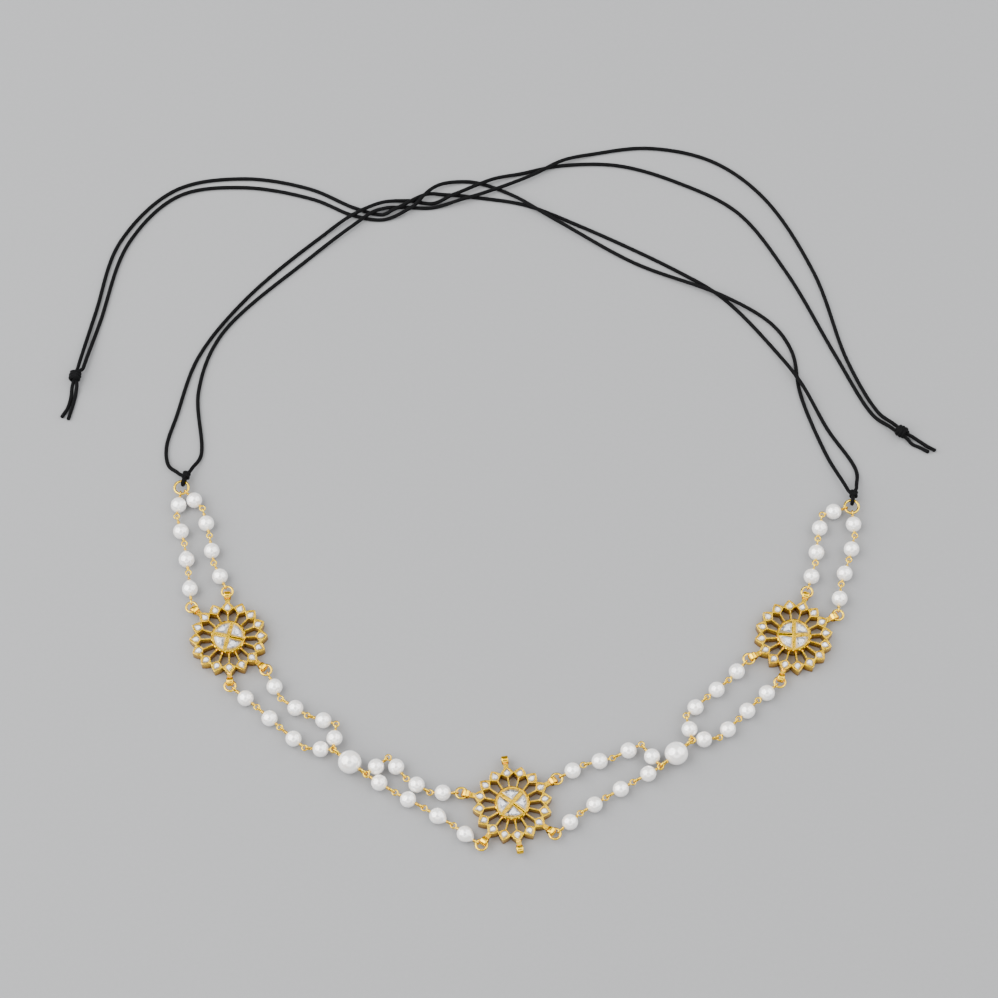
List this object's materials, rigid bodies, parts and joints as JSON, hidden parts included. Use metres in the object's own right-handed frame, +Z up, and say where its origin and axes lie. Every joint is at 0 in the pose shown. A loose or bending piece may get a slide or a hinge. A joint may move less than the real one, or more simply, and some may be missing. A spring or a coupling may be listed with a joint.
{
  "type": "matha patti",
  "caption": "Lying matha patti: openwork kundan medallions joined by twin strands of wire-linked pearls, with black tie cords that end in knots.",
  "frame": {"origin": "centre of the middle medallion's flat back, on the surface that the jewel lies on", "axes": "+X towards the wearer's left along the band, +Y from the middle medallion towards the tie cords, +Z up out of the stones' side"},
  "size_m": [0.2518, 0.2232, 0.0065],
  "materials": {
    "medallion_gold": "warm gold plate, polished, with soft worn edges",
    "link_gold": "drawn wire, gold plated and polished",
    "polki_stone": "clear uncut stones over foil, cut with a table and facets",
    "pearl": "white nacre with a soft satin lustre",
    "cord": "matte black twisted cord"
  },
  "bodies": {
    "root": {"left_medallion": "medallion_gold", "centre_medallion": "medallion_gold", "right_medallion": "medallion_gold", "left_petal_stones": "polki_stone", "centre_petal_stones": "polki_stone", "right_petal_stones": "polki_stone", "left_quarter_stone_1": "polki_stone", "left_quarter_stone_2": "polki_stone", "left_quarter_stone_3": "polki_stone", "left_quarter_stone_4": "polki_stone", "centre_quarter_stone_1": "polki_stone", "centre_quarter_stone_2": "polki_stone", "centre_quarter_stone_3": "polki_stone", "centre_quarter_stone_4": "polki_stone", "right_quarter_stone_1": "polki_stone", "right_quarter_stone_2": "polki_stone", "right_quarter_stone_3": "polki_stone", "right_quarter_stone_4": "polki_stone", "left_jump_rings": "link_gold", "centre_jump_rings": "link_gold", "right_jump_rings": "link_gold", "left_end_ring": "link_gold", "right_end_ring": "link_gold", "left_end_outer_links": "link_gold", "left_end_outer_pearls": "pearl", "left_end_inner_links": "link_gold", "left_end_inner_pearls": "pearl", "left_side_outer_links": "link_gold", "left_side_outer_pearls": "pearl", "left_side_inner_links": "link_gold", "left_side_inner_pearls": "pearl", "left_front_outer_links": "link_gold", "left_front_outer_pearls": "pearl", "left_front_inner_links": "link_gold", "left_front_inner_pearls": "pearl", "right_front_outer_links": "link_gold", "right_front_outer_pearls": "pearl", "right_front_inner_links": "link_gold", "right_front_inner_pearls": "pearl", "right_side_outer_links": "link_gold", "right_side_outer_pearls": "pearl", "right_side_inner_links": "link_gold", "right_side_inner_pearls": "pearl", "right_end_outer_links": "link_gold", "right_end_outer_pearls": "pearl", "right_end_inner_links": "link_gold", "right_end_inner_pearls": "pearl", "left_large_pearl": "pearl", "left_large_link": "link_gold", "right_large_pearl": "pearl", "right_large_link": "link_gold", "left_hitch": "cord", "right_hitch": "cord", "left_end_knot": "cord", "right_end_knot": "cord", "left_cord_a": "cord", "left_cord_b": "cord", "right_cord_a": "cord", "right_cord_b": "cord"}
  },
  "joints": []
}
